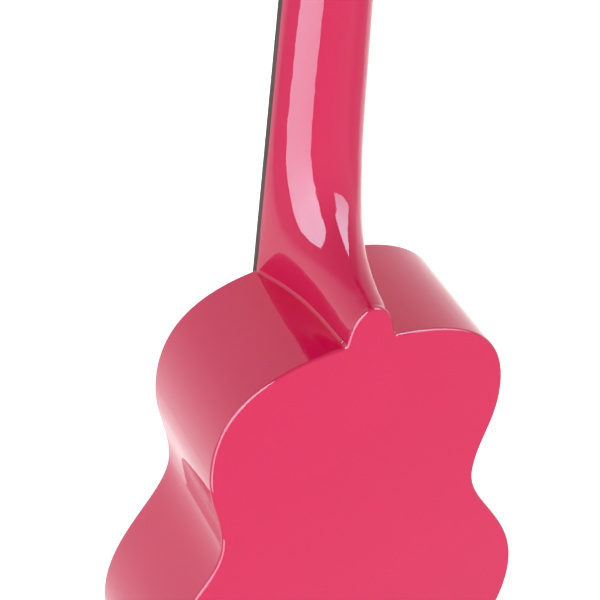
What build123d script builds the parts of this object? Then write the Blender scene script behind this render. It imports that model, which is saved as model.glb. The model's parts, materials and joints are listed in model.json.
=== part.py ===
from build123d import *
from build123d import SkipClean
import os
from math import atan2, cos, degrees, exp, pi, radians, sin, sqrt, tan

# A soprano ukulele, standing neck up. Millimetres.
# X: from the fourth string's side to the first string's side, seen from the front.
# Y: from the front (-Y, strings) to the back (+Y). Y = 0 is the soundboard's outer face, which is
#    also the plane where the fretboard is glued to the neck.
# Z: up the neck. Z = 0 is the front edge of the nut, where the speaking length starts.

# Driving dimensions
SCALE = 345.0                  # nut to saddle before compensation
COMPENSATION = 1.5             # added string length at the saddle
FRET_COUNT = 12
JOINT_Z = -SCALE / 2           # the neck meets the body at the twelfth fret

BODY_LENGTH = 242.6
BODY_DEPTH = 57.0
UPPER_HALF, UPPER_DOWN = 64.6, 49.4     # upper bout: half width, distance below the joint
WAIST_HALF, WAIST_DOWN = 57.9, 91.8
LOWER_HALF, LOWER_DOWN = 86.8, 166.3
TOP_THICK = 2.2
BACK_THICK = 2.5
SIDE_THICK = 2.0
EDGE_ROUND = 1.2               # rounding of the plates' outer edges
LINING_WIDE, LINING_TALL = 4.0, 6.0
SOUND_HOLE_R, SOUND_HOLE_DOWN = 24.0, 86.0
ROSETTE_IN, ROSETTE_OUT, ROSETTE_DEEP = 26.5, 31.0, 0.4

NUT_HALF = 16.75               # half width of the neck at the nut
HEEL_HALF = 21.6               # half width of the neck at the body
NECK_THICK = 11.5              # wood of the neck behind the fretboard
HEEL_CAP_TALL = 15.8           # how far the back's tongue reaches up the heel
HEEL_CURVE = 11.4              # length over which the heel runs out into the neck
HEEL_FADES = (43.0, 52.0)      # length over which the heel's narrowing fades, at its front and its back

FRETBOARD_THICK = 3.2
FRETBOARD_END = JOINT_Z - 11.0
CROWN_HALF, CROWN_TALL = 0.9, 0.9
TANG_HALF, TANG_DEEP = 0.25, 1.4
MARKER_R, MARKER_DEEP = 2.5, 0.6

NUT_THICK, NUT_TALL = 4.5, 5.7
HEAD_TILT = 12.0               # the headstock leans back by this angle
HEAD_LONG, HEAD_THICK = 110.0, 11.5
HEAD_BLEND = 3.3               # height where the neck starts to open into the headstock
HEAD_HALF_LOW, HEAD_HALF_HIGH = 25.0, 26.5

BRIDGE_HALF, BRIDGE_TALL = 38.0, 6.2
SADDLE_HALF, SADDLE_THICK = 29.0, 2.5
SADDLE_TOP = 8.6               # the saddle's crest, ahead of the soundboard
SADDLE_Z = -(SCALE + COMPENSATION)

NUT_STRING_GAP = 9.0           # string spacing at the nut
SADDLE_STRING_GAP = 13.3       # string spacing at the saddle
NUT_SLOT_FLOOR = 4.65          # ahead of the fretboard's glue plane
STRINGS = {"g": 0.62, "c": 0.86, "e": 0.74, "a": 0.62}   # name to diameter, from -X to +X

POST_X = 13.5
POST_UP = {"g": 33.0, "c": 77.0, "e": 77.0, "a": 33.0}   # distance up the headstock
GEAR_TEETH = 14
GEAR_MODULE = 0.55
BUSHING_R, POST_R = 4.0, 3.0
RUNNING = 0.05                 # radial clearance of a turning shaft
PLATE_THICK = 1.2
GEAR_R = GEAR_MODULE * GEAR_TEETH / 2
WORM_R = 2.3
TOOTH_TALL, TOOTH_DEEP = 0.5, 0.62
WORM_PITCH = pi * GEAR_MODULE
WORM_TURNS = 4
WORM_PHASE = 90.0              # turn of the thread that puts it between two gear teeth
CENTRES = GEAR_R + WORM_R
WORM_MIDDLE = PLATE_THICK + WORM_R + TOOTH_TALL + 0.3
GEAR_THICK = 3.6
GEAR_LOW = WORM_MIDDLE - GEAR_THICK / 2
SHAFT_R = 1.5
EAR_IN, EAR_THICK = 5.4, 1.2
SCREW_R, SCREW_LONG = 1.0, 8.0
SCREW_AT = (8.3, -CENTRES - 6.2)
KNOB_START, KNOB_LONG, KNOB_WIDE, KNOB_THICK = 15.0, 15.0, 13.0, 7.0

CLEAR = 0.05                   # small gap between parts that only touch


# ---------------------------------------------------------------- helpers
def slab(sketch, y_front, y_back):
    """A sketch drawn with X across and Z up, made solid from y_front to y_back."""
    return extrude(Plane.XZ.offset(-y_front) * sketch, -(y_back - y_front))


def box_between(x0, x1, y0, y1, z0, z1):
    return Pos((x0 + x1) / 2, (y0 + y1) / 2, (z0 + z1) / 2) * Box(x1 - x0, y1 - y0, z1 - z0)


def rod(start, end, radius):
    """A round rod between two points."""
    axis = Vector(*end) - Vector(*start)
    return extrude(Plane(origin=start, z_dir=axis) * Circle(radius), axis.length)


def save(name, *solids):
    """One STEP file per node. A node of several pieces keeps them as separate solids."""
    pieces = [s for shape in solids for s in shape.solids()]
    shape = pieces[0] if len(pieces) == 1 else Compound(children=pieces)
    shape.label = name
    export_step(shape, f"parts/{name}.step")


# ---------------------------------------------------------------- body
def body_outline(inset=0.0):
    """The guitar-shaped outline as a sketch in X and Z, less an inset."""
    def half(side):
        top = (0, JOINT_Z)
        upper = (side * UPPER_HALF, JOINT_Z - UPPER_DOWN)
        waist = (side * WAIST_HALF, JOINT_Z - WAIST_DOWN)
        lower = (side * LOWER_HALF, JOINT_Z - LOWER_DOWN)
        tail = (0, JOINT_Z - BODY_LENGTH)
        to_waist, to_lower = WAIST_DOWN - UPPER_DOWN, LOWER_DOWN - WAIST_DOWN
        to_tail = BODY_LENGTH - LOWER_DOWN
        return [
            Bezier(top, (0.68 * upper[0], JOINT_Z), (upper[0], JOINT_Z - 0.32 * UPPER_DOWN), upper),
            Bezier(upper, (upper[0], upper[1] - 0.40 * to_waist),
                   (waist[0], waist[1] + 0.38 * to_waist), waist),
            Bezier(waist, (waist[0], waist[1] - 0.30 * to_lower),
                   (lower[0], lower[1] + 0.49 * to_lower), lower),
            Bezier(lower, (lower[0], lower[1] - 0.55 * to_tail), (0.60 * lower[0], tail[1]), tail),
        ]

    def moved_in(edge, side):
        shares = [step / 10 for step in range(11)]
        points = [edge @ t + side * inset * Vector((edge % t).Y, -(edge % t).X) for t in shares]
        return Spline(*points, tangents=[edge % 0, edge % 1])
    if inset == 0:
        return make_face(half(1) + half(-1))
    return make_face([moved_in(edge, side) for side in (1, -1) for edge in half(side)])


OUTLINE = body_outline()
INSIDE = body_outline(SIDE_THICK)
INSIDE_LININGS = body_outline(SIDE_THICK + LINING_WIDE)
SIDES_FRONT, SIDES_BACK = TOP_THICK, BODY_DEPTH - BACK_THICK
BODY_BLOCK = slab(OUTLINE, -1, BODY_DEPTH + 20)
SOUND_HOLE_Z = JOINT_Z - SOUND_HOLE_DOWN
HEEL_BLOCK_HALF, HEEL_BLOCK_DEEP = 26.0, 24.0
TAIL_BLOCK_HALF, TAIL_BLOCK_DEEP = 24.0, 12.0
DOWEL_R, DOWEL_LONG = 4.0, 34.0
DOWEL_Y = (14.0, 32.0)


def dowels():
    """Two glued wooden dowels that hold the neck's heel to the heel block."""
    middle = JOINT_Z - SIDE_THICK
    return [rod((0, y, middle - DOWEL_LONG / 2), (0, y, middle + DOWEL_LONG / 2), DOWEL_R)
            for y in DOWEL_Y]


def half_space(side):
    """A box that covers one side of the middle plane."""
    return box_between(*sorted((0, side * 200)), -50, 150, -600, 200)


def soundboard():
    plate = slab(OUTLINE, 0, TOP_THICK)
    front_edges = plate.faces().sort_by(Axis.Y)[0].edges()
    plate = fillet(front_edges, EDGE_ROUND)
    plate -= slab(Pos(0, SOUND_HOLE_Z) * Circle(SOUND_HOLE_R), -1, TOP_THICK + 1)
    return plate - rosette()


def rosette():
    ring = Circle(ROSETTE_OUT) - Circle(ROSETTE_IN)
    return slab(Pos(0, SOUND_HOLE_Z) * ring, 0, ROSETTE_DEEP)


def heel_cap_outline():
    """The tongue of the back that covers the heel, flush with the heel's wood."""
    low = JOINT_Z - 4
    tip = JOINT_Z + HEEL_CAP_TALL + HEEL_CURVE * BACK_THICK / (BODY_DEPTH - NECK_THICK)
    arch = []
    for step in range(-9, 10):
        z = tip - (tip - low) * (step / 9) ** 2
        half = 0 if step == 0 else neck_half(SIDES_BACK, z)
        arch.append((half if step > 0 else -half, z))
    return make_face([Spline(*arch), Line(arch[0], arch[-1])])


def back_plate():
    """The back, with the tongue that caps the heel."""
    outline = OUTLINE + heel_cap_outline()
    plate = slab(fillet(outline.vertices(), 1.8), SIDES_BACK, BODY_DEPTH)
    return fillet(plate.faces().sort_by(Axis.Y)[-1].edges(), EDGE_ROUND)


def side(sign):
    wall = slab(OUTLINE, SIDES_FRONT, SIDES_BACK) - slab(INSIDE, SIDES_FRONT, SIDES_BACK)
    wall &= half_space(sign)
    for dowel in dowels():
        wall -= dowel
    return wall


def heel_block():
    z_low = JOINT_Z - SIDE_THICK - HEEL_BLOCK_DEEP
    block = box_between(-HEEL_BLOCK_HALF, HEEL_BLOCK_HALF, SIDES_FRONT, SIDES_BACK, z_low, JOINT_Z)
    block &= slab(INSIDE, SIDES_FRONT, SIDES_BACK)
    for dowel in dowels():
        block -= dowel
    return block


def tail_block():
    z_high = JOINT_Z - BODY_LENGTH + SIDE_THICK + TAIL_BLOCK_DEEP
    block = box_between(-TAIL_BLOCK_HALF, TAIL_BLOCK_HALF, SIDES_FRONT, SIDES_BACK, -500, z_high)
    return block & slab(INSIDE, SIDES_FRONT, SIDES_BACK)


def lining(y_front, y_back, sign):
    """A glue strip along one side, between the two blocks."""
    strip = slab(INSIDE, y_front, y_back) - slab(INSIDE_LININGS, y_front, y_back)
    strip &= half_space(sign)
    strip -= box_between(-HEEL_BLOCK_HALF, HEEL_BLOCK_HALF, 0, BODY_DEPTH, JOINT_Z - 40, JOINT_Z)
    tail_z = JOINT_Z - BODY_LENGTH
    return strip - box_between(-TAIL_BLOCK_HALF, TAIL_BLOCK_HALF, 0, BODY_DEPTH, tail_z, tail_z + 30)


def brace(down, y_front, y_back, wide=6.0):
    """A cross bar glued to a plate, its ends stopping at the linings."""
    z = JOINT_Z - down
    bar = box_between(-90, 90, y_front, y_back, z - wide / 2, z + wide / 2)
    return bar & slab(INSIDE_LININGS, y_front, y_back)


def bridge_plate():
    """A thin patch of hardwood under the soundboard, behind the bridge."""
    return box_between(-32, 32, TOP_THICK, TOP_THICK + 1.5, SADDLE_Z - 16, SADDLE_Z + 8)


# ---------------------------------------------------------------- neck
def neck_half_width(z):
    return NUT_HALF + (HEEL_HALF - NUT_HALF) * z / JOINT_Z


def opening(z):
    """How far the neck has opened out where it runs into the headstock."""
    return (max(z - HEAD_BLEND, 0) / 22.0) ** 2


def neck_depth(z):
    """Distance from the fretboard's plane to the neck's spine."""
    heel = (BODY_DEPTH - NECK_THICK) * exp(-(z - JOINT_Z - HEEL_CAP_TALL) / HEEL_CURVE)
    return NECK_THICK + heel + 16.0 * opening(z)


def neck_half(y, z):
    """Half width of the neck at a depth behind the fretboard: a soft D that narrows at the heel."""
    share = min(max(y, 0) / neck_depth(z), 1)
    deep_share = min(max(y / BODY_DEPTH, 0), 1)
    fade_length = HEEL_FADES[0] + (HEEL_FADES[1] - HEEL_FADES[0]) * deep_share
    fade = min(max((z - JOINT_Z) / fade_length, 0), 1)
    heel = (1 - fade) ** 2 * (1 + 2 * fade)
    waisted = 1 - 0.483 * (1 - exp(-((max(y, 0) / 20.0) ** 1.34))) * heel
    round_share = share ** (1.62 + 6 * opening(z))
    keel = 1 - heel * (0.24 * round_share + 0.14 * round_share ** 2 + 0.19 * round_share ** 10)
    return (neck_half_width(z) + 14 * opening(z)) * waisted * sqrt(1 - round_share) * keel


def neck_ray(spine, inner):
    """Points on the neck's surface, from one flank round the spine to the other."""
    row = []
    for step in range(-20, 21):
        share = abs(step / 20) ** 1.8
        y, z = (spine[i] + (inner[i] - spine[i]) * share for i in (0, 1))
        half = 0 if step == 0 else neck_half(y, z)
        row.append(Vector(half if step > 0 else -half, y, z))
    return row


def neck_surface():
    """One smooth skin for the shaft, the heel and the opening into the headstock.
    Its rows are level along the shaft and fan round a pivot behind the heel's hollow."""
    pivot_y, pivot_z, reach_y, reach_z = 60.0, JOINT_Z + 62.0, 80.0, 84.0
    rows = [neck_ray((neck_depth(z), z), (pivot_y - reach_y, z))
            for z in (30, 26, 22, 18, 14, 10, 6, HEAD_BLEND, 0, -6, -14, -26, -40, -56, -72, -86, -96, -104)]
    for angle in range(0, 91, 5):
        toward = (-cos(radians(angle)), -sin(radians(angle)))
        near, far = 20.0, 85.0
        for _ in range(50):
            middle = (near + far) / 2
            y, z = pivot_y + middle * toward[0], pivot_z + middle * toward[1]
            near, far = (near, middle) if neck_depth(z) > y else (middle, far)
        spine = (pivot_y + near * toward[0], pivot_z + near * toward[1])
        reach = ((-toward[0] / reach_y) ** 6 + (-toward[1] / reach_z) ** 6) ** (-1 / 6)
        rows.append(neck_ray(spine, (pivot_y + reach * toward[0], pivot_z + reach * toward[1])))
    return Face.make_surface_from_array_of_points(rows, tol=0.005, min_deg=3, max_deg=3)


def neck_blank(z_high=24.0):
    """The neck and heel up to the headstock's foot, running a little into the body."""
    block = box_between(-60, 60, 0, SIDES_BACK, JOINT_Z - 4, z_high)
    pieces = split(block, bisect_by=neck_surface(), keep=Keep.ALL)
    return pieces.solids().sort_by(SortBy.VOLUME)[0]


HEAD_PLANE = Plane(origin=(0, 0, NUT_THICK), x_dir=(1, 0, 0),
                   z_dir=(0, -cos(radians(HEAD_TILT)), sin(radians(HEAD_TILT))))
HEAD_BACK = HEAD_PLANE.offset(-HEAD_THICK)


def head_outline():
    def half(side):
        low, high = side * HEAD_HALF_LOW, side * HEAD_HALF_HIGH
        return [
            Line((0, -2), (side * NUT_HALF, -2)),
            Line((side * NUT_HALF, -2), (side * NUT_HALF, 0)),
            Bezier((side * NUT_HALF, 0), (side * NUT_HALF, 7), (low, 6), (low, 16)),
            Line((low, 16), (high, HEAD_LONG - 14)),
            Bezier((high, HEAD_LONG - 14), (high, HEAD_LONG - 4), (side * 17, HEAD_LONG), (0, HEAD_LONG)),
        ]
    return make_face(half(1) + half(-1))


def tuner_place(name):
    """Local frame of a tuner: origin on the headstock's back face on the post's axis,
    X across, Y up the headstock, Z towards the front."""
    x = -POST_X if name in "gc" else POST_X
    return HEAD_BACK * Pos(x, POST_UP[name], 0)


def headstock():
    """The tilted slab of the headstock, its long edges eased."""
    head = extrude(HEAD_PLANE * head_outline(), -HEAD_THICK)
    rims = [e for e in head.edges() if e.center().Z > 12 and abs(e.tangent_at(0.5).dot(HEAD_PLANE.z_dir)) < 0.1]
    return fillet(rims, 1.2) - box_between(-40, 40, -20, 0, -20, NUT_THICK)


def neck():
    """Neck, heel and headstock as one piece of wood."""
    blank = neck_blank() - BODY_BLOCK
    head = headstock()
    split_z = 22.0
    shaft = blank & box_between(-60, 60, 0, 80, JOINT_Z - 10, HEAD_BLEND)
    foot = blank & head & box_between(-60, 60, -20, 80, HEAD_BLEND, split_z)
    top = head & box_between(-60, 60, -60, 80, split_z, 200)
    wood = (shaft + foot + top).solids().sort_by(SortBy.VOLUME)[-1]
    for dowel in dowels():
        wood -= dowel
    for name in STRINGS:
        place = tuner_place(name)
        wood -= place * Pos(0, 0, HEAD_THICK / 2) * Cylinder(BUSHING_R, HEAD_THICK + 2)
        for at in SCREW_AT:
            wood -= place * Pos(0, at, SCREW_LONG / 2) * Cylinder(SCREW_R, SCREW_LONG)
    # The skin keeps a seam along the spine, so that each flank is a face of its own.
    right, left = ((wood & half_space(side_sign)).solids()[0] for side_sign in (1, -1))
    with SkipClean():
        return right.fuse(left)


# ---------------------------------------------------------------- fretboard
def fret_z(number):
    return -(SCALE - SCALE / 2 ** (number / 12))


def tapered_board(y_front, y_back, z_low, z_high, margin=0.0):
    low, high = neck_half_width(z_low) - margin, neck_half_width(z_high) - margin
    outline = make_face(Polyline((low, z_low), (high, z_high), (-high, z_high), (-low, z_low), close=True))
    return slab(outline, y_front, y_back)


def frets():
    wires = []
    top = -FRETBOARD_THICK
    for number in range(1, FRET_COUNT + 1):
        z = fret_z(number)
        half = neck_half_width(z) - 0.3
        crown_arc = ThreePointArc((top, z - CROWN_HALF), (top - CROWN_TALL, z), (top, z + CROWN_HALF))
        crown = make_face([crown_arc, Line((top, z + CROWN_HALF), (top, z - CROWN_HALF))])
        wire = extrude(Plane.YZ.offset(-half) * crown, 2 * half)
        wires.append((wire + fret_tang(number)).solids()[0])
    return wires


def fret_tang(number):
    z = fret_z(number)
    half = neck_half_width(z) - 0.3
    return box_between(-half, half, -FRETBOARD_THICK, -FRETBOARD_THICK + TANG_DEEP,
                       z - TANG_HALF, z + TANG_HALF)


def fret_markers():
    """Dots between the frets: one at 5, 7 and 10, two at 12."""
    places = []
    for number, across in ((5, (0,)), (7, (0,)), (10, (0,)), (12, (-8.5, 8.5))):
        z = (fret_z(number) + fret_z(number - 1)) / 2
        places += [(x, z) for x in across]
    return [slab(Pos(x, z) * Circle(MARKER_R), -FRETBOARD_THICK, -FRETBOARD_THICK + MARKER_DEEP)
            for x, z in places]


def fretboard():
    board = tapered_board(-FRETBOARD_THICK, 0, FRETBOARD_END, 0)
    for number in range(1, FRET_COUNT + 1):
        board -= fret_tang(number)
    for dot in fret_markers():
        board -= dot
    return board


# ---------------------------------------------------------------- nut, bridge and saddle
def string_x(name, gap):
    return (list(STRINGS).index(name) - 1.5) * gap


def nut():
    """The nut, with a slot for each string that follows it on towards its tuner."""
    bar = box_between(-NUT_HALF, NUT_HALF, -NUT_TALL, 0, 0, NUT_THICK)
    bar = fillet(bar.edges().filter_by(Axis.X).group_by(Axis.Y)[0], 0.9)
    for name, diameter in STRINGS.items():
        points, _ = string_points(name)
        half = diameter / 2 + CLEAR
        for toward, long in ((points[1], 3), (points[3], 8)):
            path = Plane(origin=points[2], x_dir=(1, 0, 0), z_dir=toward - points[2])
            bar -= path * Pos(0, 0, long / 2) * Cylinder(half, long)
            open_side = -1 if path.y_dir.Y > 0 else 1
            bar -= path * Pos(0, open_side * 2, long / 2) * Box(2 * half, 4, long)
        bar -= Pos(*points[2]) * Sphere(half)
    return bar.solids().sort_by(SortBy.VOLUME)[-1]


BRIDGE_FRONT_Z = SADDLE_Z + 6.0
WALL_BACK_Z = SADDLE_Z - 8.0
BRIDGE_BACK_Z = SADDLE_Z - 13.0
SHELF_HIGH = 1.2                   # floor of the knot shelf, ahead of the soundboard
KNOT_HIGH = 2.9


def bridge():
    outline = make_face(Polyline((BRIDGE_HALF, BRIDGE_BACK_Z), (BRIDGE_HALF, BRIDGE_FRONT_Z),
                                 (-BRIDGE_HALF, BRIDGE_FRONT_Z), (-BRIDGE_HALF, BRIDGE_BACK_Z), close=True))
    block = slab(outline, -BRIDGE_TALL, 0)
    wing = 6.0
    for side_sign in (-1, 1):
        cut = make_face(Polyline((side_sign * (BRIDGE_HALF - wing), -BRIDGE_TALL),
                                 (side_sign * (BRIDGE_HALF + 1), -BRIDGE_TALL - 0.1),
                                 (side_sign * (BRIDGE_HALF + 1), -3.0), close=True))
        block -= extrude(Plane.XY.offset(BRIDGE_BACK_Z - 1) * cut, 25)
    block = fillet(block.edges().filter_by(Axis.X).group_by(Axis.Y)[0], 0.8)
    reach = SADDLE_STRING_GAP * 1.5 + 5
    block -= box_between(-reach, reach, -BRIDGE_TALL - 1, -SHELF_HIGH, BRIDGE_BACK_Z - 1, WALL_BACK_Z)
    block -= box_between(-reach, reach, -BRIDGE_TALL - 1, -BRIDGE_TALL + 2.0, WALL_BACK_Z - 1,
                         SADDLE_Z - SADDLE_THICK / 2 - 1.2)
    for name, diameter in STRINGS.items():
        x, half = string_x(name, SADDLE_STRING_GAP), diameter / 2 + 0.15
        block -= box_between(x - half, x + half, -BRIDGE_TALL - 1, -KNOT_HIGH + 1.1, WALL_BACK_Z - 1,
                             SADDLE_Z - SADDLE_THICK / 2 - 1.2)
    return block - saddle_blank()


def saddle_blank():
    return box_between(-SADDLE_HALF, SADDLE_HALF, -SADDLE_TOP, -BRIDGE_TALL + 3.4,
                       SADDLE_Z - SADDLE_THICK / 2, SADDLE_Z + SADDLE_THICK / 2)


def saddle():
    bar = saddle_blank()
    return fillet(bar.edges().filter_by(Axis.X).group_by(Axis.Y)[0], SADDLE_THICK / 2 - 0.01)


# ---------------------------------------------------------------- strings
STRING_HIGH = 5.5              # height of the string on its post, ahead of the headstock's face
GROOVE_R = 2.6


def wrap_outer(name):
    return GROOVE_R + STRINGS[name]


def string_points(name):
    """The string's corners: knot, saddle crest, nut and the point where it reaches its wraps."""
    diameter = STRINGS[name]
    lift = diameter / 2 + CLEAR
    crest = SADDLE_TOP - SADDLE_THICK / 2
    turn_r = SADDLE_THICK / 2 + lift
    x_saddle, x_nut = string_x(name, SADDLE_STRING_GAP), string_x(name, NUT_STRING_GAP)
    knot = Vector(x_saddle, -KNOT_HIGH, WALL_BACK_Z - 1.3)
    nut_point = Vector(x_nut, -(NUT_SLOT_FLOOR + lift), 1.0)
    centre = Vector(x_saddle, -crest, SADDLE_Z)
    saddle_point = centre + Vector(0, -turn_r, 0)
    for _ in range(5):
        up = (nut_point - saddle_point).normalized()
        down = (knot - saddle_point).normalized()
        turn = pi - radians(up.get_angle(down))
        saddle_point = centre - (up + down).normalized() * (turn_r / cos(turn / 2))
    sign = 1 if name in "gc" else -1
    tangent_x = sign * (GROOVE_R + diameter / 2)
    post_local = tuner_place(name) * Pos(tangent_x, 0, HEAD_THICK + STRING_HIGH)
    post_point = post_local.position
    short = sqrt((wrap_outer(name) + 0.15) ** 2 - GROOVE_R ** 2)
    along = (post_point - nut_point).normalized()
    return [knot, saddle_point, nut_point, post_point - along * short], turn_r


def string(name):
    points, turn_r = string_points(name)
    path = FilletPolyline(*points, radius=turn_r)
    start = Plane(origin=points[0], z_dir=points[1] - points[0])
    line = sweep(start * Circle(STRINGS[name] / 2), path=path)
    knot = Pos(*points[0]) * Sphere(1.15)
    return (line + knot).solids()[0]


def string_wraps(name):
    """The turns of string round the post, as one sleeve of their outer shape."""
    low = STRING_HIGH - 2.6 * STRINGS[name]
    tall = 3.1 * STRINGS[name]
    sleeve = Cylinder(wrap_outer(name), tall) - Cylinder(GROOVE_R, tall)
    return tuner_place(name) * Pos(0, 0, HEAD_THICK + low + tall / 2) * sleeve


# ---------------------------------------------------------------- tuners
def plate(place):
    """Stamped base plate with two bent ears that carry the worm shaft."""
    low, high = SCREW_AT[1] - 3.4, SCREW_AT[0] + 3.4
    sheet = Pos(0, (low + high) / 2) * RectangleRounded(15.0, high - low, 3.0)
    sheet -= Circle(POST_R + RUNNING)
    for at in SCREW_AT:
        sheet -= Pos(0, at) * Circle(SCREW_R + 0.1)
    body = extrude(sheet, -PLATE_THICK)
    ear_tall = WORM_MIDDLE + 2.6
    for side_sign in (-1, 1):
        x = side_sign * (EAR_IN + EAR_THICK / 2)
        ear = Pos(x, -CENTRES, -ear_tall / 2) * Box(EAR_THICK, 6.4, ear_tall)
        ear = fillet(ear.edges().filter_by(Axis.X).group_by(Axis.Z)[0], 2.0)
        body += ear
    shaft_hole = Pos(0, -CENTRES, -WORM_MIDDLE) * Rot(0, 90, 0) * Cylinder(SHAFT_R + RUNNING, 20)
    return place * (body - shaft_hole).solids()[0]


def bushing(place):
    """Flanged ferrule pressed into the headstock's front."""
    sleeve = Pos(0, 0, HEAD_THICK - 2.5) * Cylinder(BUSHING_R, 5.0)
    flange = Pos(0, 0, HEAD_THICK + 0.5) * Cylinder(5.2, 1.0)
    flange = fillet(flange.edges().group_by(Axis.Z)[-1], 0.4)
    bore = Pos(0, 0, HEAD_THICK) * Cylinder(POST_R + RUNNING, 14)
    return place * (sleeve + flange - bore)


def post(place):
    """String post: bearing length, grooved winding length, and a stub that carries the gear."""
    tip = HEAD_THICK + 9.5
    groove_low, groove_high = HEAD_THICK + 2.2, HEAD_THICK + 7.2
    stub = -GEAR_LOW - GEAR_THICK
    profile = make_face(Polyline(
        (0, stub), (2, stub), (2, -GEAR_LOW), (POST_R, -GEAR_LOW), (POST_R, groove_low - 0.4),
        (GROOVE_R, groove_low), (GROOVE_R, groove_high), (POST_R, groove_high + 0.4),
        (POST_R, tip - 0.8), (POST_R - 0.8, tip), (0, tip), close=True))
    turned = revolve(Plane.XZ * profile, Axis.Z)
    turned -= Pos(0, 0, HEAD_THICK + STRING_HIGH + 0.6) * Rot(0, 90, 0) * Cylinder(0.8, 10)
    turned -= Pos(0, 0, stub + 2) * Cylinder(1.0, 4)
    return place * turned


def gear(place):
    """Helical brass gear, its teeth slanted to follow the worm's thread."""
    root, tip = GEAR_R - TOOTH_DEEP, GEAR_R + TOOTH_TALL
    foot, top = 0.48, 0.18     # half widths of a tooth at its foot and at its top
    profile = Circle(root)
    for number in range(GEAR_TEETH):
        tooth = make_face(Polyline((root - 0.3, -foot), (tip, -top), (tip, top), (root - 0.3, foot), close=True))
        profile += Rot(0, 0, 360 / GEAR_TEETH * number) * tooth
    lead = atan2(WORM_PITCH, 2 * pi * WORM_R)
    twist = degrees(tan(lead) * GEAR_THICK / GEAR_R)
    solid = Solid.extrude_linear_with_rotation(profile.faces()[0].outer_wire(), center=(0, 0, 0),
                                               normal=(0, 0, GEAR_THICK), angle=twist)
    solid = Rot(0, 0, -twist / 2) * solid
    solid -= Pos(0, 0, GEAR_THICK / 2) * Cylinder(2.0, 2 * GEAR_THICK)
    return place * Pos(0, 0, -GEAR_LOW - GEAR_THICK) * solid


def gear_screw(place):
    head_low = -GEAR_LOW - GEAR_THICK
    head = Pos(0, 0, head_low - 0.6) * Cylinder(2.4, 1.2)
    head = fillet(head.edges().group_by(Axis.Z)[0], 0.5)
    head -= Pos(0, 0, head_low - 1.2) * Box(0.6, 6, 1.0)
    return place * (head + Pos(0, 0, head_low + 1.75) * Cylinder(1.0, 3.5)).solids()[0]


def worm_shaft(place, out):
    """Shaft with a right-hand thread between the ears. It runs out to the knob."""
    core, tip = WORM_R - TOOTH_DEEP, WORM_R + TOOTH_TALL
    foot, top = 0.45, 0.16     # half widths of the thread at its foot and at its top
    long = WORM_TURNS * WORM_PITCH
    path = Helix(pitch=WORM_PITCH, height=long, radius=WORM_R)
    ridge = make_face(Polyline((core - 0.25 - WORM_R, -foot), (tip - WORM_R, -top), (tip - WORM_R, top),
                               (core - 0.25 - WORM_R, foot), close=True))
    thread = sweep(Plane(origin=path @ 0, x_dir=(1, 0, 0), z_dir=path % 0) * ridge, path=path, is_frenet=True)
    screw = Pos(0, 0, long / 2) * Cylinder(core, long + 4) + thread
    screw &= Pos(0, 0, long / 2) * Cylinder(tip + 1, long - 1.2)
    screw = Rot(0, 90, 0) * Rot(0, 0, WORM_PHASE) * Pos(0, 0, -long / 2) * screw
    neck_long = 2 * EAR_IN - 0.3
    screw += Rot(0, 90, 0) * Cylinder(core, neck_long)
    inner, outer = -out * (EAR_IN + EAR_THICK + 0.8), out * (KNOB_START + 9.0)
    shaft = Pos((inner + outer) / 2, 0, 0) * Rot(0, 90, 0) * Cylinder(SHAFT_R, abs(outer - inner))
    return place * Pos(0, -CENTRES, -WORM_MIDDLE) * (screw + shaft).solids().sort_by(SortBy.VOLUME)[-1]


def knob(place, out):
    """Oval button pressed on the shaft, with a short collar towards the headstock."""
    outline = Pos(out * (KNOB_START + KNOB_LONG / 2), 0) * Ellipse(KNOB_LONG / 2, KNOB_WIDE / 2)
    button = extrude(outline, KNOB_THICK / 2, both=True)
    button = fillet(button.edges(), 2.2)
    collar = Pos(out * (KNOB_START + 1.0), 0, 0) * Rot(0, 90, 0) * Cylinder(2.6, 4.0)
    shaft_hole = Pos(out * (KNOB_START + 9.0 - 10.0), 0, 0) * Rot(0, 90, 0) * Cylinder(SHAFT_R, 20.0)
    return place * Pos(0, -CENTRES, -WORM_MIDDLE) * (button + collar - shaft_hole)


def mounting_screws():
    """Two pan-head screws per tuner, driven into the headstock's back."""
    made = []
    for name in STRINGS:
        place = tuner_place(name)
        for at in SCREW_AT:
            head = Pos(0, at, -PLATE_THICK - 0.6) * Cylinder(2.1, 1.2)
            head = fillet(head.edges().group_by(Axis.Z)[0], 0.7)
            head -= Pos(0, at, -PLATE_THICK - 1.2) * Box(0.5, 2.6, 0.9)
            head -= Pos(0, at, -PLATE_THICK - 1.2) * Box(2.6, 0.5, 0.9)
            shank_long = SCREW_LONG + PLATE_THICK - 0.5
            shank = Pos(0, at, -PLATE_THICK + shank_long / 2) * Cylinder(SCREW_R, shank_long)
            made.append((place * (head + shank)).solids()[0])
    return made


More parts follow.
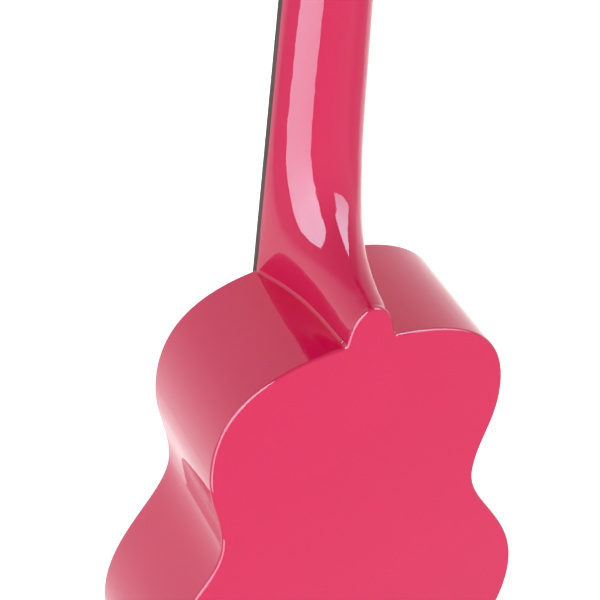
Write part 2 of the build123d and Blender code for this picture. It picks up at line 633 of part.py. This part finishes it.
# ---------------------------------------------------------------- build every node
def main():
    os.makedirs("parts", exist_ok=True)
    save("neck", neck())
    save("soundboard", soundboard())
    save("rosette", rosette())
    save("back_plate", back_plate())
    save("side_bass", side(-1))
    save("side_treble", side(1))
    save("heel_block", heel_block())
    save("tail_block", tail_block())
    save("neck_dowels", *dowels())
    save("top_linings", *[lining(SIDES_FRONT, SIDES_FRONT + LINING_TALL, s) for s in (-1, 1)])
    save("back_linings", *[lining(SIDES_BACK - LINING_TALL, SIDES_BACK, s) for s in (-1, 1)])
    for name, down in (("upper", 46), ("lower", 124)):
        save(f"top_brace_{name}", brace(down, TOP_THICK, TOP_THICK + 8))
    for name, down in (("upper", 42), ("waist", 95), ("lower", 170)):
        save(f"back_brace_{name}", brace(down, SIDES_BACK - 7, SIDES_BACK))
    save("bridge_plate", bridge_plate())
    save("fretboard", fretboard())
    save("frets", *frets())
    save("fret_markers", *fret_markers())
    save("nut", nut())
    save("bridge", bridge())
    save("saddle", saddle())
    save("tuner_mounting_screws", *mounting_screws())
    for name in STRINGS:
        place = tuner_place(name)
        out = -1 if name in "gc" else 1
        save(f"string_{name}", string(name))
        save(f"string_wraps_{name}", string_wraps(name))
        save(f"tuner_plate_{name}", plate(place))
        save(f"tuner_bushing_{name}", bushing(place))
        save(f"tuner_post_{name}", post(place))
        save(f"tuner_gear_{name}", gear(place))
        save(f"tuner_gear_screw_{name}", gear_screw(place))
        save(f"tuner_worm_{name}", worm_shaft(place, out))
        save(f"tuner_knob_{name}", knob(place, out))


main()
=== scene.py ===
import json
from math import cos, pi, radians, sin, tan

import bmesh
import bpy
from mathutils import Matrix, Vector


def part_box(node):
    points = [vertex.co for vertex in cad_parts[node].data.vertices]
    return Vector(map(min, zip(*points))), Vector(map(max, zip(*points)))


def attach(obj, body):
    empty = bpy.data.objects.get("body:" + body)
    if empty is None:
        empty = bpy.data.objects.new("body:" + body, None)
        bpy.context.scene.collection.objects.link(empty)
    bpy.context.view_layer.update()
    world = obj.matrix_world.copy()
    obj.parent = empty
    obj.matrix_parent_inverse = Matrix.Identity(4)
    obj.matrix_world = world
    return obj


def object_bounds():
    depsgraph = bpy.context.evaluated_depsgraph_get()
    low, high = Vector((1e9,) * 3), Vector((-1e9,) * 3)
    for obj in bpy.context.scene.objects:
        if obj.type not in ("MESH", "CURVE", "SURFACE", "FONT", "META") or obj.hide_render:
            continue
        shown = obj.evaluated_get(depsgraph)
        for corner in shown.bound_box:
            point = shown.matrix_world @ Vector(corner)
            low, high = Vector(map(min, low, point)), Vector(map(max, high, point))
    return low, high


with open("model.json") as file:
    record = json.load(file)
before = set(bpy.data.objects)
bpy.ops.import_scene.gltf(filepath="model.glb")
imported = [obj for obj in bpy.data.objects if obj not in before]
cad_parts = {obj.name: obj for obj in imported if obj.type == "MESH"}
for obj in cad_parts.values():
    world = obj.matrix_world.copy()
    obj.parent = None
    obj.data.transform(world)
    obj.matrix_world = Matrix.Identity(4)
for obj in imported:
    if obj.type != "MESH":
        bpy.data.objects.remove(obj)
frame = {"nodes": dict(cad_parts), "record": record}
cad_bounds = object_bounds()
nodes = frame["nodes"]
scene = bpy.context.scene

# Places and sizes in metres, in the frame of the part: +Z up the neck, -Y out of the front.
FLOOR_Z = cad_bounds[0][2]
AIM = Vector((0.032197, 0.057100, -0.141824))  # the point that the camera looks at
CAMERA_AWAY = 0.68198
CAMERA_AZIMUTH, CAMERA_HEIGHT, CAMERA_ROLL = 151.334, 40.145, 4.81     # degrees
CAMERA_LENS, SENSOR = 112.78, 36.0             # mm
MIDDLE = Vector((0, 0.02, -0.15))              # the point that the lights face
CARDS_AWAY = 2.0
FLOOR_GLOW, FLOOR_SEEN = 0.05, 0.75            # the floor's own light, as a light and to the camera
SKY_GLOW, SKY_SEEN = 0.53, 1.1                 # the same for the studio around it
WALL_SHINE, BASS_WALL_SHINE = 0.74, 0.52       # how much brighter the gloss shows the side walls
CARD_TINT = (0.62, 1.07, 1.22, 1.0)
FILLET = 0.0012                                # reach of the lacquer in the corner at the joint
FILLET_GAP, FILLET_SINK, FILLET_STEPS = 0.0012, 0.00012, 8


# ---------------------------------------------------------------- node helpers
class Graph:
    """Short ways to add and join shader nodes in one material or world."""

    def __init__(self, tree):
        self.tree = tree
        tree.nodes.clear()

    def add(self, kind, inputs=None, **settings):
        node = self.tree.nodes.new(kind)
        for key, value in settings.items():
            setattr(node, key, value)
        for key, value in (inputs or {}).items():
            self.feed(node.inputs[key], value)
        return node

    def feed(self, socket, value):
        if isinstance(value, bpy.types.NodeSocket):
            self.tree.links.new(value, socket)
        elif isinstance(value, bpy.types.Node):
            self.tree.links.new(value.outputs[0], socket)
        else:
            socket.default_value = value

    def noise(self, scale, detail, roughness=0.5, stretch=(1, 1, 1)):
        place = self.add("ShaderNodeTexCoord").outputs["Object"]
        mapped = self.add("ShaderNodeMapping", {"Vector": place, "Scale": stretch})
        return self.add("ShaderNodeTexNoise", {"Vector": mapped, "Scale": scale, "Detail": detail,
                                               "Roughness": roughness}).outputs["Fac"]

    def between(self, value, low, high, from_low=0.3, from_high=0.7):
        """A value moved from one range to another."""
        return self.add("ShaderNodeMapRange", {"Value": value, "From Min": from_low, "From Max": from_high,
                                               "To Min": low, "To Max": high}).outputs["Result"]

    def blend(self, share, first, second):
        node = self.add("ShaderNodeMix", data_type="RGBA")
        for socket, value in ((0, share), (6, first), (7, second)):
            self.feed(node.inputs[socket], value)
        return node.outputs[2]

    def bump(self, height, strength, distance):
        return self.add("ShaderNodeBump", {"Height": height, "Strength": strength, "Distance": distance})

    def dot(self, first, second):
        node = self.add("ShaderNodeVectorMath", {0: first, 1: second}, operation="DOT_PRODUCT")
        return node.outputs["Value"]

    def maths(self, operation, first, second):
        return self.add("ShaderNodeMath", {0: first, 1: second}, operation=operation)


def material(name, **settings):
    """A Principled material. Returns it with its graph and its shader."""
    made = bpy.data.materials.new(name)
    made.use_nodes = True
    graph = Graph(made.node_tree)
    shader = graph.add("ShaderNodeBsdfPrincipled")
    for key, value in settings.items():
        graph.feed(shader.inputs[key.replace("_", " ")], value)
    graph.add("ShaderNodeOutputMaterial", {"Surface": shader})
    return made, graph, shader


def rgb(red, green, blue):
    return (red, green, blue, 1.0)


# ---------------------------------------------------------------- materials
PLATES = ("soundboard", "back_plate")
SIDES = ("side_bass", "side_treble")
GRAIN_STRETCH = (1, 1, 0.06)                   # grain runs along Z


def facing(graph, node):
    """Above zero where a face of a body panel looks out of the body, below zero where it looks in."""
    normal = graph.add("ShaderNodeTexCoord").outputs["Normal"]
    if node in PLATES:
        return graph.dot(normal, (0, -1, 0) if node == "soundboard" else (0, 1, 0))
    joint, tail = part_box(node)[1][2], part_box(node)[0][2]
    place = graph.add("ShaderNodeTexCoord").outputs["Object"]
    height = graph.add("ShaderNodeSeparateXYZ", {0: place}).outputs["Z"]
    waist = joint + (tail - joint) * 0.38
    bout = graph.between(height, tail + 0.075, joint - 0.05, waist - 0.0001, waist + 0.0001)
    middle = graph.add("ShaderNodeCombineXYZ", {"X": 0.0, "Y": 0.0, "Z": bout})
    flat = graph.add("ShaderNodeVectorMath", {0: place, 1: (1, 0, 1)}, operation="MULTIPLY")
    ray = graph.add("ShaderNodeVectorMath", {0: flat, 1: middle}, operation="SUBTRACT")
    return graph.dot(normal, ray)


def pink_lacquer(name, node=None):
    """Pigmented gloss lacquer: deep even colour, a hard clear coat, and a faint ripple in the coat.
    A body panel shows its plain wood on the inside."""
    made, graph, shader = material(name, Roughness=0.5, IOR=1.5)
    shader.inputs["Specular IOR Level"].default_value = 0.0
    shader.inputs["Coat Weight"].default_value = 1.0
    shader.inputs["Coat Roughness"].default_value = 0.04
    shader.inputs["Coat IOR"].default_value = 1.5
    cloud = graph.between(graph.noise(9.0, 2.0), 0.0, 1.0)
    colour = graph.blend(cloud, rgb(0.745, 0.006, 0.094), rgb(0.715, 0.004, 0.087))
    if node:
        grain = graph.between(graph.noise(160.0, 6.0, 0.65, GRAIN_STRETCH), 0.0, 1.0)
        wood = graph.blend(grain, rgb(0.62, 0.45, 0.28), rgb(0.47, 0.32, 0.18))
        edge = -0.5 if node in PLATES else 0.0
        inside = graph.between(facing(graph, node), 1.0, 0.0, edge - 0.0005, edge + 0.0005)
        colour = graph.blend(inside, colour, wood)
        graph.feed(shader.inputs["Roughness"], graph.between(inside, 0.5, 0.65, 0.0, 1.0))
    graph.feed(shader.inputs["Base Color"], colour)
    ripple = graph.bump(graph.noise(160.0, 1.0), 0.03, 0.0001)
    graph.feed(shader.inputs["Coat Normal"], ripple)
    return made


def grained_wood(name, light, dark, roughness, scale=1.0, shine=0.5):
    """Wood with long grain lines, pores and a satin surface."""
    made, graph, shader = material(name, IOR=1.5)
    shader.inputs["Specular IOR Level"].default_value = shine
    grain = graph.noise(260.0 * scale, 6.0, 0.65, GRAIN_STRETCH)
    figure = graph.noise(40.0 * scale, 2.0, 0.5, GRAIN_STRETCH)
    colour = graph.blend(graph.between(grain, 0.0, 1.0), light, dark)
    colour = graph.blend(graph.between(figure, 0.0, 0.5), colour, dark)
    graph.feed(shader.inputs["Base Color"], colour)
    graph.feed(shader.inputs["Roughness"], graph.between(grain, roughness - 0.06, roughness + 0.08))
    graph.feed(shader.inputs["Normal"], graph.bump(grain, 0.25, 0.00008))
    return made


def polished_metal(name, colour, roughness, scratch=0.04):
    """Plated or machined metal with fine wiping marks."""
    made, graph, shader = material(name, Metallic=1.0)
    marks = graph.noise(900.0, 4.0, 0.7, (1, 1, 0.2))
    tarnish = graph.noise(120.0, 2.0)
    darker = rgb(*(0.82 * c for c in colour[:3]))
    graph.feed(shader.inputs["Base Color"], graph.blend(graph.between(tarnish, 0.0, 0.5), colour, darker))
    graph.feed(shader.inputs["Roughness"], graph.between(marks, roughness, roughness + scratch))
    return made


def cast_plastic(name, light, dark, roughness, waves=30.0, milky=0.0):
    """Moulded plastic or bone-like material with soft clouding."""
    made, graph, shader = material(name, IOR=1.5)
    cloud = graph.noise(waves, 3.0, 0.55, (1, 1, 0.5))
    graph.feed(shader.inputs["Base Color"], graph.blend(graph.between(cloud, 0.0, 1.0), light, dark))
    graph.feed(shader.inputs["Roughness"], graph.between(cloud, roughness, roughness + 0.08))
    if milky:
        shader.inputs["Subsurface Weight"].default_value = milky
        shader.inputs["Subsurface Radius"].default_value = (0.003, 0.003, 0.0025)
        shader.inputs["Subsurface Scale"].default_value = 0.4
    return made


FINISHES = {
    "pink_lacquer": pink_lacquer("pink_lacquer"),
    "dark_wood": grained_wood("dark_wood", rgb(0.075, 0.036, 0.026), rgb(0.028, 0.013, 0.010), 0.58,
                              shine=0.25),
    "inner_wood": grained_wood("inner_wood", rgb(0.70, 0.52, 0.34), rgb(0.52, 0.36, 0.21), 0.62, scale=0.6),
    "rosette_black": cast_plastic("rosette_black", rgb(0.018, 0.018, 0.02), rgb(0.01, 0.01, 0.012), 0.18),
    "marker_white": cast_plastic("marker_white", rgb(0.86, 0.85, 0.80), rgb(0.74, 0.76, 0.74), 0.2, 300.0),
    "fret_nickel": polished_metal("fret_nickel", rgb(0.62, 0.60, 0.55), 0.18),
    "bone_plastic": cast_plastic("bone_plastic", rgb(0.86, 0.82, 0.70), rgb(0.78, 0.73, 0.60), 0.36, 80.0,
                                 milky=0.1),
    "knob_plastic": cast_plastic("knob_plastic", rgb(0.88, 0.86, 0.79), rgb(0.80, 0.78, 0.71), 0.16, 60.0,
                                 milky=0.1),
    "nylon": cast_plastic("nylon", rgb(0.82, 0.82, 0.80), rgb(0.74, 0.74, 0.72), 0.22, 50.0, 0.2),
    "tuner_chrome": polished_metal("tuner_chrome", rgb(0.56, 0.57, 0.59), 0.14),
    "gear_brass": polished_metal("gear_brass", rgb(0.56, 0.38, 0.14), 0.3),
    "screw_steel": polished_metal("screw_steel", rgb(0.45, 0.45, 0.46), 0.26),
}


def shade_nodes():
    """Every node takes the finish of its material slot. A body panel's lacquer stops at its edges."""
    for entry in frame["record"]["subparts"]:
        name = entry["node"]
        mesh = nodes[name].data
        mesh.materials.clear()
        if name in PLATES + SIDES:
            mesh.materials.append(pink_lacquer(f"{name}_lacquer", name))
        else:
            mesh.materials.append(FINISHES[entry["material_slot"]])


# ---------------------------------------------------------------- lacquer at the neck joint
def joint_profile():
    """The closed outline of the neck's end, where it stands on the body, as a list of points."""
    mesh = nodes["neck"].data
    joint_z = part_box("side_treble")[1][2]

    def key(index):
        return tuple(round(c * 1e6) for c in mesh.vertices[index].co)
    uses = {}
    for face in mesh.polygons:
        if face.normal.z < -0.8 and abs(face.center.z - joint_z) < 0.003:
            corners = [key(i) for i in face.vertices]
            for pair in zip(corners, corners[1:] + corners[:1]):
                edge = tuple(sorted(pair))
                uses[edge] = uses.get(edge, 0) + 1
    near = {}
    for first, second in (edge for edge, count in uses.items() if count == 1):
        near.setdefault(first, []).append(second)
        near.setdefault(second, []).append(first)
    start = max(near, key=lambda point: point[0])
    loop, last = [start], None
    while True:
        ways = [point for point in near[loop[-1]] if point != last]
        last = loop[-1]
        if not ways or ways[0] == start:
            break
        loop.append(ways[0])
    return [Vector(point) / 1e6 for point in loop]


def joint_fillets():
    """The thin concave line of lacquer along each flank of the heel, where it meets the body."""
    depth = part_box("side_treble")[1][1]
    for label, side in (("treble", 1), ("bass", -1)):
        line = sorted((p for p in joint_profile() if p.x * side > 0.005 and 0.0002 < p.y < depth - 0.0002),
                      key=lambda p: p.y)
        spaced = [line[0]]
        for point in line:
            if (point - spaced[-1]).length > FILLET_GAP:
                spaced.append(point)
        rings = []
        for i, point in enumerate(spaced):
            ahead = (spaced[min(i + 1, len(spaced) - 1)] - spaced[max(i - 1, 0)]).normalized()
            out = ahead.cross(Vector((0, 0, 1))).normalized() * side
            up = out.cross(ahead).normalized()
            up = up if up.z > 0 else -up
            root = point - FILLET_SINK * out - FILLET_SINK * up
            arc = []
            for step in range(FILLET_STEPS + 1):
                t = step / FILLET_STEPS
                hollow = 2 * t * (1 - t) * 0.16 * (up + out)
                arc.append(root + FILLET * ((1 - t) ** 2 * up + hollow + t * t * out))
            rings.append(arc + [root - 0.0002 * (up + out)])
        count = len(rings[0])
        faces = []
        for a in range(0, (len(rings) - 1) * count, count):
            for b in range(count):
                c = (b + 1) % count
                faces.append((a + b, a + c, a + count + c, a + count + b))
        faces += [tuple(range(count))[::-1], tuple(range((len(rings) - 1) * count, len(rings) * count))]
        mesh = bpy.data.meshes.new(f"heel_fillet_{label}")
        mesh.from_pydata([p for ring in rings for p in ring], [], faces)
        tidy = bmesh.new()
        tidy.from_mesh(mesh)
        bmesh.ops.recalc_face_normals(tidy, faces=tidy.faces)
        tidy.to_mesh(mesh)
        tidy.free()
        mesh.polygons.foreach_set("use_smooth", [len(face.vertices) == 4 for face in mesh.polygons])
        mesh.materials.append(FINISHES["pink_lacquer"])
        fillet = bpy.data.objects.new(f"heel_fillet_{label}", mesh)
        scene.collection.objects.link(fillet)
        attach(fillet, "body")


# ---------------------------------------------------------------- stage, light and camera
def toward(azimuth, height):
    """A direction: 0, 0 looks out of the back of the instrument, and 90, 0 to its +X side. Degrees."""
    azimuth, height = radians(azimuth), radians(height)
    return Vector((sin(azimuth) * cos(height), cos(azimuth) * cos(height), sin(height)))


def stage():
    """A white floor. It lights the instrument softly, and the studio shows in the lacquer in its place."""
    bpy.ops.mesh.primitive_plane_add(size=12.0, location=(0, 0, FLOOR_Z))
    floor = bpy.context.object
    floor.name = "floor"
    made, graph, shader = material("pale_floor", Roughness=0.9)
    shader.inputs["Base Color"].default_value = rgb(0.92, 0.92, 0.92)
    shader.inputs["Emission Color"].default_value = rgb(1, 1, 1)
    seen = graph.add("ShaderNodeLightPath").outputs["Is Camera Ray"]
    graph.feed(shader.inputs["Emission Strength"], graph.between(seen, FLOOR_GLOW, FLOOR_SEEN, 0.0, 1.0))
    floor.data.materials.append(made)
    floor.visible_glossy = False


def sky():
    """A white studio: plain white to look at, and dimmer as a light. In the gloss its two side walls
    are brighter, with a darker gap beside the bass side's wall."""
    world = bpy.data.worlds.new("studio")
    scene.world = world
    world.use_nodes = True
    graph = Graph(world.node_tree)
    path = graph.add("ShaderNodeLightPath")
    way = graph.add("ShaderNodeTexCoord").outputs["Generated"]

    def ramp(direction, low, high, from_low, from_high):
        """A brightness that changes with how near a look comes to a direction."""
        return graph.between(graph.dot(way, tuple(direction)), low, high, from_low, from_high)

    def times(first, second):
        return graph.maths("MULTIPLY", first, second)
    up, right, front = (0, 0, 1), (1, 0, 0), (0, -1, 0)
    treble_wall = times(ramp(toward(171, 0), 0.0, WALL_SHINE, 0.18, 0.32), ramp(right, 0.4, 1.0, -0.4, 0.2))
    bass_wall = ramp(toward(-171, 0), 0.0, BASS_WALL_SHINE, 0.2, 0.28)
    walls = times(graph.maths("MAXIMUM", treble_wall, bass_wall), ramp(front, 1.0, 0.2, 0.86, 0.97))
    heights = times(ramp(up, 1.0, 0.6, 0.0, 0.9), ramp(up, 0.78, 1.0, -0.74, -0.4))
    around = times(heights, ramp(toward(-88, -38), 1.0, 0.6, 0.88, 0.96))
    shown = graph.maths("ADD", walls, around)

    def glow(strength):
        return graph.add("ShaderNodeBackground", {"Color": rgb(1, 1, 1), "Strength": strength})

    def choose(ray, otherwise, chosen):
        return graph.add("ShaderNodeMixShader", {0: path.outputs[ray], 1: otherwise, 2: chosen})
    light = choose("Is Glossy Ray", glow(SKY_GLOW), glow(shown))
    graph.add("ShaderNodeOutputWorld", {"Surface": choose("Is Camera Ray", light, glow(SKY_SEEN))})


def shine_card(name, corners, low, high, z_low, z_high):
    """A flat glowing card that only the gloss shows. Corners are directions, in degrees.
    Its brightness goes from low to high between two heights, in metres."""
    ways = [toward(*corner) for corner in corners]
    face_way = sum(ways, Vector()).normalized()
    points = [MIDDLE + way * (CARDS_AWAY / way.dot(face_way)) for way in ways]
    mesh = bpy.data.meshes.new(name)
    mesh.from_pydata(points, [], [range(len(points))])
    card = bpy.data.objects.new(name, mesh)
    scene.collection.objects.link(card)
    made = bpy.data.materials.new(name)
    made.use_nodes = True
    graph = Graph(made.node_tree)
    place = graph.add("ShaderNodeSeparateXYZ", {0: graph.add("ShaderNodeTexCoord").outputs["Object"]})
    strength = graph.between(place.outputs["Z"], low, high, z_low, z_high)
    glow = graph.add("ShaderNodeEmission", {"Color": CARD_TINT, "Strength": strength})
    graph.add("ShaderNodeOutputMaterial", {"Surface": glow})
    mesh.materials.append(made)
    card.visible_camera = card.visible_diffuse = card.visible_shadow = card.visible_transmission = False


def glow_box(name, azimuth, height, angle, radiance, away):
    """A large square soft light that faces the instrument and stays out of the gloss.
    The angle is how wide it looks, in degrees."""
    data = bpy.data.lights.new(name, "AREA")
    data.size = 2 * away * tan(radians(angle / 2))
    data.energy = pi * data.size ** 2 * radiance
    light = bpy.data.objects.new(name, data)
    light.location = MIDDLE + toward(azimuth, height) * away
    light.rotation_euler = (MIDDLE - light.location).to_track_quat("-Z", "Y").to_euler()
    light.visible_camera = light.visible_glossy = False
    scene.collection.objects.link(light)


def camera():
    azimuth, height, roll = (radians(a) for a in (CAMERA_AZIMUTH, CAMERA_HEIGHT, CAMERA_ROLL))
    back = Vector((sin(azimuth) * cos(height), -cos(azimuth) * cos(height), sin(height)))
    right = (-back).cross(Vector((0, 0, 1))).normalized()
    up = right.cross(-back)
    turned_right = cos(roll) * right + sin(roll) * up
    turned_up = cos(roll) * up - sin(roll) * right
    data = bpy.data.cameras.new("camera")
    data.lens, data.sensor_width, data.sensor_fit = CAMERA_LENS, SENSOR, "HORIZONTAL"
    data.clip_start, data.clip_end = 0.02, 50.0
    made = bpy.data.objects.new("camera", data)
    rotation = Matrix((turned_right, turned_up, back)).transposed()
    made.matrix_world = Matrix.Translation(AIM + back * CAMERA_AWAY) @ rotation.to_4x4()
    scene.collection.objects.link(made)
    scene.camera = made


scene.view_settings.view_transform = "Standard"
shade_nodes()
joint_fillets()
stage()
sky()
shine_card("low_card", [(8, -50), (8, 4), (13, 24), (20, 38), (30, 45), (48, 45), (62, 38), (72, 28),
                        (75, 10), (73, -4), (64, -12), (57, -18), (55, -50)], 5.6, 9.6, -1.9, 0.0)
shine_card("high_card", [(-84, 58), (-72, 34), (-67, 4), (-31, 3), (-36, 24), (-29, 42), (-44, 57)],
           5.5, 9.5, 0.0, 1.2)
glow_box("back_glow", azimuth=2, height=-8, angle=60, radiance=1.5, away=0.55)
glow_box("front_glow", azimuth=180, height=12, angle=60, radiance=1.1, away=2.0)
glow_box("side_glow", azimuth=85, height=-8, angle=50, radiance=0.75, away=2.0)
camera()
